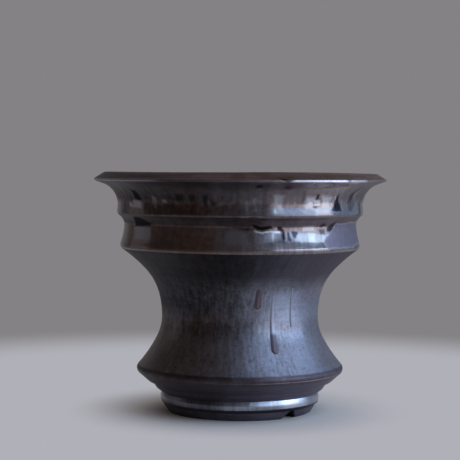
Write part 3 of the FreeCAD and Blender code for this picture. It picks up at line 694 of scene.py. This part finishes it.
def stem_material():
    """The satin glaze on the stem."""
    pot = PotGraph("stem_glaze_dressed")
    wide = pot.streaks(5.0, 0.02, 3.0, 0.6)
    short = pot.streaks(24.0, 0.09, 3.0, 0.65, seed=3.0)
    mottle = pot.noise(pot.place, 0.16, 4.0, 0.6, 0.4)
    grain = pot.noise(pot.place, 0.4, 4.0, 0.7)

    # Where the glaze is silver, which follows the window light's highlight and so is partly a painted
    # highlight:
    # the higher up, the further to the right
    raised = pot.most(pot.minus(pot.height, LEAN_START), 0.0)
    place = pot.minus(pot.azimuth, pot.times(raised, 0.24))
    share = pot.turned([(-180, 0.5), (-120, 0.4), (-85, 0.06), (-55, 0.16), (-30, 0.06), (-12, 0.24),
                        (0, 0.62), (8, 0.8), (20, 0.95), (45, 0.85), (62, 0.55), (130, 0.45), (180, 0.5)],
                       place)
    drift = pot.plus(pot.times(mottle, 0.5), pot.times(short, 0.35))
    drift = pot.plus(drift, pot.times(wide, 0.35))
    metal = pot.plus(share, pot.minus(drift, 0.6), clamp=True)
    onset = pot.plus(pot.height, pot.times(pot.plus(short, wide), 14.0))
    matt = pot.ramp(onset, *STEM_TOP)

    # Brown and silver, and how they change up the stem: the brown darkens high up, where the stem looks down
    # under the collar, as painted shade, and lightens low down, where it turns up to the light, as painted
    # light
    brown = pot.mix(pot.ramp(short, *WIDE_MIX), colour(54, 39, 32), colour(82, 65, 58))
    silver = pot.mix(pot.ramp(short, *NARROW_MIX), colour(118, 119, 131), colour(142, 146, 162))
    # Brighter, bluer silver low down at the right: more of the painted highlight
    right = pot.mix(pot.ramp(pot.height, *STEM_RIGHT), colour(114, 112, 128), colour(146, 152, 172))
    silver = pot.mix(pot.ramp(pot.azimuth, 30.0, 46.0), silver, right)
    high = pot.ramp(pot.plus(pot.height, pot.times(mottle, 20.0)), *STEM_HIGH)
    brown = pot.mix(high, brown, colour(24, 17, 14))
    low = pot.ramp(pot.height, *STEM_LOW)
    brown = pot.mix(low, brown, pot.mix(short, colour(92, 76, 68), colour(126, 110, 104)))
    base = pot.mix(metal, brown, silver)

    # Speckle, the matt top, a painted highlight at the right and the darker line along the skirt
    light_grain = pot.times(pot.ramp(grain, 0.5, 0.68), pot.blend(metal, 0.12, 0.42))
    base = pot.mix(light_grain, base, colour(132, 126, 134))
    base = pot.mix(pot.times(pot.ramp(grain, 0.48, 0.34), 0.45), base, colour(40, 30, 30))
    matt_colour = pot.mix(metal, colour(22, 15, 13), colour(72, 66, 74))
    base = pot.mix(pot.times(matt, 0.8), base, matt_colour)
    stem_highlight = pot.turned([(-180, 0.0), (4, 0.0), (18, 0.16), (30, 0.6), (40, 0.6), (50, 0.2), (180, 0.0)])
    stem_highlight = pot.times(stem_highlight, pot.band(pot.blend(wide, *STEM_HIGHLIGHT_BAND), 13.0, 5.0))
    base = pot.mix(stem_highlight, base, pot.mix(grain, colour(112, 124, 150), colour(206, 220, 246)))
    rim = pot.ramp(pot.plus(pot.height, pot.times(mottle, 1.5)), *SKIRT_RIM)
    base = pot.mix(rim, base, pot.mix(share, colour(50, 40, 37), colour(90, 82, 92)))

    dull = pot.times(high, pot.ramp(pot.azimuth, -10.0, -40.0))
    roughness = pot.blend(pot.ramp(short, *WIDE_MIX), 0.34, 0.44)
    return pot.finish(base, pot.blend(pot.most(matt, dull), roughness, 0.62), grain, 0.0001)


def skirt_material():
    """The matt purple-brown glaze on the skirt's edge and underside."""
    pot = PotGraph("skirt_glaze_dressed")
    streaks = pot.streaks(22.0, 0.08, 4.0, 0.65)
    cloud = pot.noise(pot.place, 0.09, 4.0, 0.6)
    grain = pot.noise(pot.place, 0.75, 4.0, 0.7)
    # Purple at the right, where the window light falls, and brown at the left: partly the glaze, partly
    # painted light
    share = pot.turned([(-180, 0.5), (-60, 0.25), (-20, 0.15), (4, 0.45), (24, 0.85), (60, 0.9), (120, 0.6),
                        (180, 0.5)])
    share = pot.plus(share, pot.times(pot.minus(streaks, 0.5), 0.6), clamp=True)
    brown = pot.mix(pot.ramp(cloud, *NARROW_MIX), colour(40, 31, 28), colour(64, 52, 50))
    purple = pot.mix(pot.ramp(cloud, *NARROW_MIX), colour(80, 72, 82), colour(98, 90, 102))
    base = pot.mix(share, brown, purple)

    # The underside with its dark rings, and a painted highlight along the edge over it, strongest at the lit
    # right
    tone = pot.noise(pot.vector(0.0, 0.0, pot.height), 1.1, 2.0, 0.5)
    underside = pot.ramp(pot.height, *SKIRT_UNDERSIDE)
    dark_rings = pot.times(underside, pot.ramp(tone, *NARROW_MIX, -0.1, 0.45))
    base = pot.mix(underside, base, pot.mix(share, colour(50, 39, 38), colour(112, 103, 120)))
    base = pot.mix(dark_rings, base, colour(30, 24, 28))
    base = pot.mix(pot.times(pot.ramp(grain, 0.5, 0.72), 0.3), base, colour(120, 110, 118))
    # The painted highlight along the edge between the skirt's rim and its underside
    line = pot.band(pot.plus(SKIRT_LINE, pot.times(cloud, 0.6)), 0.25, 0.35)
    strength = pot.turned([(-180, 0.1), (-40, 0.03), (4, 0.14), (14, 0.55), (50, 0.85), (70, 0.2),
                           (180, 0.1)])
    strength = pot.times(strength, pot.ramp(streaks, 0.3, 0.5, 0.4, 1.0))
    base = pot.mix(pot.times(line, strength), base, colour(206, 188, 192))
    return pot.finish(base, pot.blend(streaks, 0.42, 0.56), grain, 0.0001)


def foot_material():
    """The satin glaze on the foot's band, with a painted highlight at the right and painted shade on its
    lower rim.
    """
    pot = PotGraph("foot_glaze_dressed")
    streaks = pot.streaks(22.0, 0.08, 4.0, 0.65)
    grain = pot.noise(pot.place, 0.75, 4.0, 0.7)
    # Silver where the window light's highlight falls, painted over the glaze, and brown elsewhere
    share = pot.turned([(-180, 0.5), (-90, 0.35), (-60, 0.14), (-44, 0.26), (-22, 0.2), (-6, 0.8), (2, 1.0),
                        (9, 0.9), (14, 0.72), (27, 0.78), (36, 0.95), (50, 0.95), (62, 0.45), (130, 0.5),
                        (180, 0.5)])
    brown = pot.mix(pot.ramp(streaks, *NARROW_MIX), colour(52, 44, 44), colour(80, 72, 76))
    silver = pot.mix(pot.ramp(streaks, *NARROW_MIX), colour(150, 156, 170), colour(174, 180, 192))
    silver = pot.mix(pot.ramp(pot.azimuth, 26.0, 36.0), silver, colour(206, 216, 232))
    base = pot.mix(share, brown, silver)
    # Painted shade on the band's lower rim, which turns down away from the light
    lower_rim = pot.ramp(pot.plus(pot.height, streaks), *FOOT_LOWER_RIM)
    base = pot.mix(lower_rim, base, colour(56, 47, 56))
    return pot.finish(base, pot.blend(streaks, 0.26, 0.38), grain, 0.00008, 0.85)


def run_material():
    """The runs: reddish at the left, grey-purple with a paler tail at the right."""
    pot = PotGraph("run_glaze_dressed")
    streaks = pot.streaks(40.0, 0.05, 4.0, 0.65)
    speckle = pot.noise(pot.place, 0.9, 4.0, 0.7)
    share = pot.turned([(-180, 0.0), (14, 0.0), (20, 0.9), (60, 1.0), (180, 0.0)])
    red = pot.mix(pot.ramp(streaks, *NARROW_MIX), colour(82, 72, 77), colour(106, 96, 103))
    grey = pot.mix(pot.ramp(streaks, *NARROW_MIX), colour(92, 82, 94), colour(112, 102, 116))
    tail = pot.ramp(pot.height, *RUN_TAIL)
    grey = pot.mix(tail, grey, colour(156, 160, 178))
    return pot.finish(pot.mix(share, red, grey), pot.blend(streaks, 0.36, 0.46), speckle, 0.0001)


def clay_material(name, dark, light, roughness, metallic):
    """Bare clay with stains and throwing lines, a painted bluish reflection along its ground edge and
    painted shade in the foot's notches.
    """
    pot = PotGraph(name)
    grain = pot.noise(pot.place, 1.4, 5.0, 0.7)
    stains = pot.noise(pot.place, 0.04, 4.0, 0.6)
    lines = pot.noise(pot.vector(0.0, 0.0, pot.height), 0.45, 2.0, 0.5)
    base = pot.mix(pot.ramp(stains, *WIDE_MIX), dark, light)
    surface = pot.plus(grain, pot.times(lines, 2.0))

    # Painted shade within the notches, by how deep a point lies behind the foot's tapered outside
    depth = pot.minus(pot.plus(pot.times(pot.height, 0.58), 64.0), pot.radius)
    notch = pot.times(pot.ramp(depth, 1.0, 3.0), pot.ramp(pot.height, *NOTCH_TOP))
    glaze_end = pot.band(GLAZE_END, 0.9, 0.6)
    base = pot.mix(glaze_end, base, colour(30, 24, 26))
    # A painted bluish reflection along the bottom edge where it meets the ground
    ground_edge = pot.ramp(pot.height, *GROUND_EDGE, 0.0, 0.7)
    base = pot.mix(ground_edge, base, colour(62, 64, 86))
    base = pot.mix(notch, base, colour(12, 9, 9))
    return pot.finish(base, roughness, surface, 0.0003, metallic)


# Studio
CAMERA_FOCAL = 1450 / 460        # focal length as a share of the picture's width
CAMERA_AWAY, CAMERA_UP = 1.289, 0.2163                       # metres from the pot's axis, over the ground
CAMERA_DOWN, CAMERA_LEFT, CAMERA_ROLL = 2.5, 0.41, 0.37      # degrees
CAMERA_SENSOR = 36                                           # millimetres
# Soft lights round the pot: azimuth and elevation that each spans, its radiance and its tint
LIGHTS = [
    ("window", (30, 96), (8.5, 20), 5.8, (0.54, 0.75, 1.0)),
    ("window_foot", (30, 93), (-20, 8), 1.9, (0.98, 0.93, 1.0)),
    ("sky", (36, 100), (26, 66), 1.8, (0.56, 0.73, 1.0)),
    ("right_card", (97, 140), (-20, 30), 0.4, (0.6, 0.76, 1.0)),
    ("left_card", (-124, -96), (-20, 17.5), 0.32, (0.92, 0.92, 1.0)),
]
LIGHT_AWAY = 1.6                 # metres from the pot
LIGHT_AIM = 0.15                 # height on the pot's axis that the lights face
SCREEN_AWAY = 2.4                # metres from the pot
SCREEN = (0.05, 0.04, 0.036, 1)
SCREEN_AZIMUTHS = -138, 150, 73      # first, last and how many
SCREEN_ELEVATIONS = -60, 90, 31
FLOOR_RADIUS = 0.7
FLOOR_DROP = 0.02                # millimetres that the floor lies under the pot
FLOOR_RINGS, FLOOR_COLUMNS = 11, 96
FLOOR_FADE = 0.4, 0.66           # metres out between which the floor's colour turns into the background's
SHADOW_FADE = 0.06, 0.16         # metres out between which the floor stops taking the pot's shadow
FLOOR = colour(226, 218, 212)       # what the floor is by the pot
FLOOR_SHOWN = colour(176, 176, 184)
BACKGROUND = colour(132, 130, 132)
FILL = (0.55, 0.52, 0.49, 1)


def make_camera():
    """The camera at the photograph's place, turned and rolled by parts of a degree."""
    data = bpy.data.cameras.new("camera")
    data.sensor_width = CAMERA_SENSOR
    data.lens = data.sensor_width * CAMERA_FOCAL
    camera = bpy.data.objects.new("camera", data)
    turn = Matrix.Rotation(math.radians(CAMERA_LEFT), 4, "Z")
    tilt = Matrix.Rotation(math.radians(90 - CAMERA_DOWN), 4, "X")
    roll = Matrix.Rotation(math.radians(CAMERA_ROLL), 4, "Z")
    camera.matrix_world = Matrix.Translation((0, -CAMERA_AWAY, CAMERA_UP)) @ turn @ tilt @ roll
    bpy.context.scene.collection.objects.link(camera)
    bpy.context.scene.camera = camera


def make_light(name, azimuths, elevations, radiance, tint):
    """A soft rectangle that faces the pot and spans those angles as the pot sees it."""
    data = bpy.data.lights.new(name, "AREA")
    data.shape = "RECTANGLE"
    spans = [math.radians(high - low) / 2 for low, high in (azimuths, elevations)]
    data.size, data.size_y = (2 * LIGHT_AWAY * math.tan(span) for span in spans)
    data.energy = radiance * math.pi * data.size * data.size_y
    data.color = tint
    light = bpy.data.objects.new(name, data)
    azimuth, elevation = (math.radians(sum(pair) / 2) for pair in (azimuths, elevations))
    level = math.cos(elevation)
    outward = Vector((level * math.sin(azimuth), -level * math.cos(azimuth), math.sin(elevation)))
    light.location = LIGHT_AWAY * outward + Vector((0, 0, LIGHT_AIM))
    light.rotation_euler = outward.to_track_quat("Z", "Y").to_euler()
    light.visible_camera = False
    bpy.context.scene.collection.objects.link(light)


def add_stage(name, points, faces, material):
    """A mesh that belongs to the studio."""
    stage = add_mesh(name, points, faces, material)
    return stage


def background_share(graph):
    """1 where a ray shows what it meets, to the camera or in gloss or glass."""
    path = graph.node("LightPath").outputs
    return graph.most(path["Is Camera Ray"], path["Is Glossy Ray"], path["Is Transmission Ray"])


def make_floor():
    """A plain pale floor that shows one even colour further out and fades into the background."""
    graph = Graph(bpy.data.materials.new("floor"))
    place = graph.node("TexCoord").outputs["Object"]
    away = graph.node("VectorMath", place, operation="LENGTH").outputs[1]
    diffuse = graph.node("BsdfDiffuse", FLOOR)
    plain = graph.node("Emission", graph.mix(graph.ramp(away, *FLOOR_FADE), FLOOR_SHOWN, BACKGROUND), 1.0)
    share = graph.times(background_share(graph), graph.ramp(away, *SHADOW_FADE))
    graph.show(graph.node("MixShader", share, diffuse.outputs[0], plain.outputs[0]))
    rings = np.linspace(0, FLOOR_RADIUS / MM, FLOOR_RINGS + 1)[1:, None]
    azimuth = np.linspace(0, 2 * math.pi, FLOOR_COLUMNS, endpoint=False)[None, :]
    points = around(rings, -FLOOR_DROP + 0 * rings, azimuth)
    faces = grid_faces(FLOOR_RINGS, FLOOR_COLUMNS, closed_rows=False).tolist()
    add_stage("floor", points, [*faces, list(range(FLOOR_COLUMNS))], graph.owner)


def make_screen():
    """A dark screen in front of the pot, behind the camera and out of its sight."""
    graph = Graph(bpy.data.materials.new("screen"))
    graph.show(graph.node("Emission", SCREEN, 1.0))
    azimuth = np.radians(np.linspace(*SCREEN_AZIMUTHS))[None, :]
    elevation = np.radians(np.linspace(*SCREEN_ELEVATIONS))[:, None]
    away = SCREEN_AWAY / MM
    points = around(away * np.cos(elevation), away * np.sin(elevation), azimuth)
    rows, columns = points.shape[:2]
    corner = (np.arange(rows - 1)[:, None] * columns + np.arange(columns - 1)).reshape(-1)
    faces = np.stack([corner, corner + 1, corner + columns + 1, corner + columns], axis=1)
    add_stage("dark_screen", points, faces.tolist(), graph.owner).visible_camera = False


def make_world():
    """An even background that gloss shows too, and a soft fill for what is matt."""
    world = bpy.data.worlds.new("studio")
    bpy.context.scene.world = world
    graph = Graph(world, "ShaderNodeOutputWorld")
    graph.show(graph.node("Background", graph.mix(background_share(graph), FILL, BACKGROUND), 1.0))


# Pieces
def dress():
    """Puts the glaze and the runs in the place of the plain ones and gives the clay its material."""
    zones = [
        ("glaze_on_collar", "collar_glaze", "neck bore", "lower ring underside", 0.75, collar_material(),
         MARKS),
        ("glaze_on_stem", "stem_glaze", "lower ring underside", "skirt", 0.9, stem_material(), {}),
        ("glaze_on_skirt", "skirt_glaze", "skirt", "groove", 0.4, skirt_material(), {}),
        ("glaze_on_foot", "foot_glaze", "groove", "foot band", 0.4, foot_material(), {}),
    ]
    for name, node, first, last, gap, material, paint in zones:
        piece = coat_piece(name, first, last, gap, material, paint)
        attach(piece, "root")
        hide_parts(node)
    runs = make_runs(run_material())
    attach(runs, "root")
    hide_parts("glaze_runs")
    clays = [
        ("stoneware_body", clay_material("bare_clay_dressed", colour(72, 60, 54), colour(92, 80, 72),
                                         *BARE_CLAY)),
        ("foot_ring", clay_material("foot_clay_dressed", colour(66, 56, 60), colour(96, 90, 102),
                                    *FOOT_CLAY)),
    ]
    for node, material in clays:
        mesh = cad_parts[node].data
        mesh.materials.clear()
        mesh.materials.append(material)


dress()
make_floor()
make_screen()
for row in LIGHTS:
    make_light(*row)
make_world()
make_camera()
bpy.context.scene.view_settings.view_transform = "Standard"

bpy.context.view_layer.update()
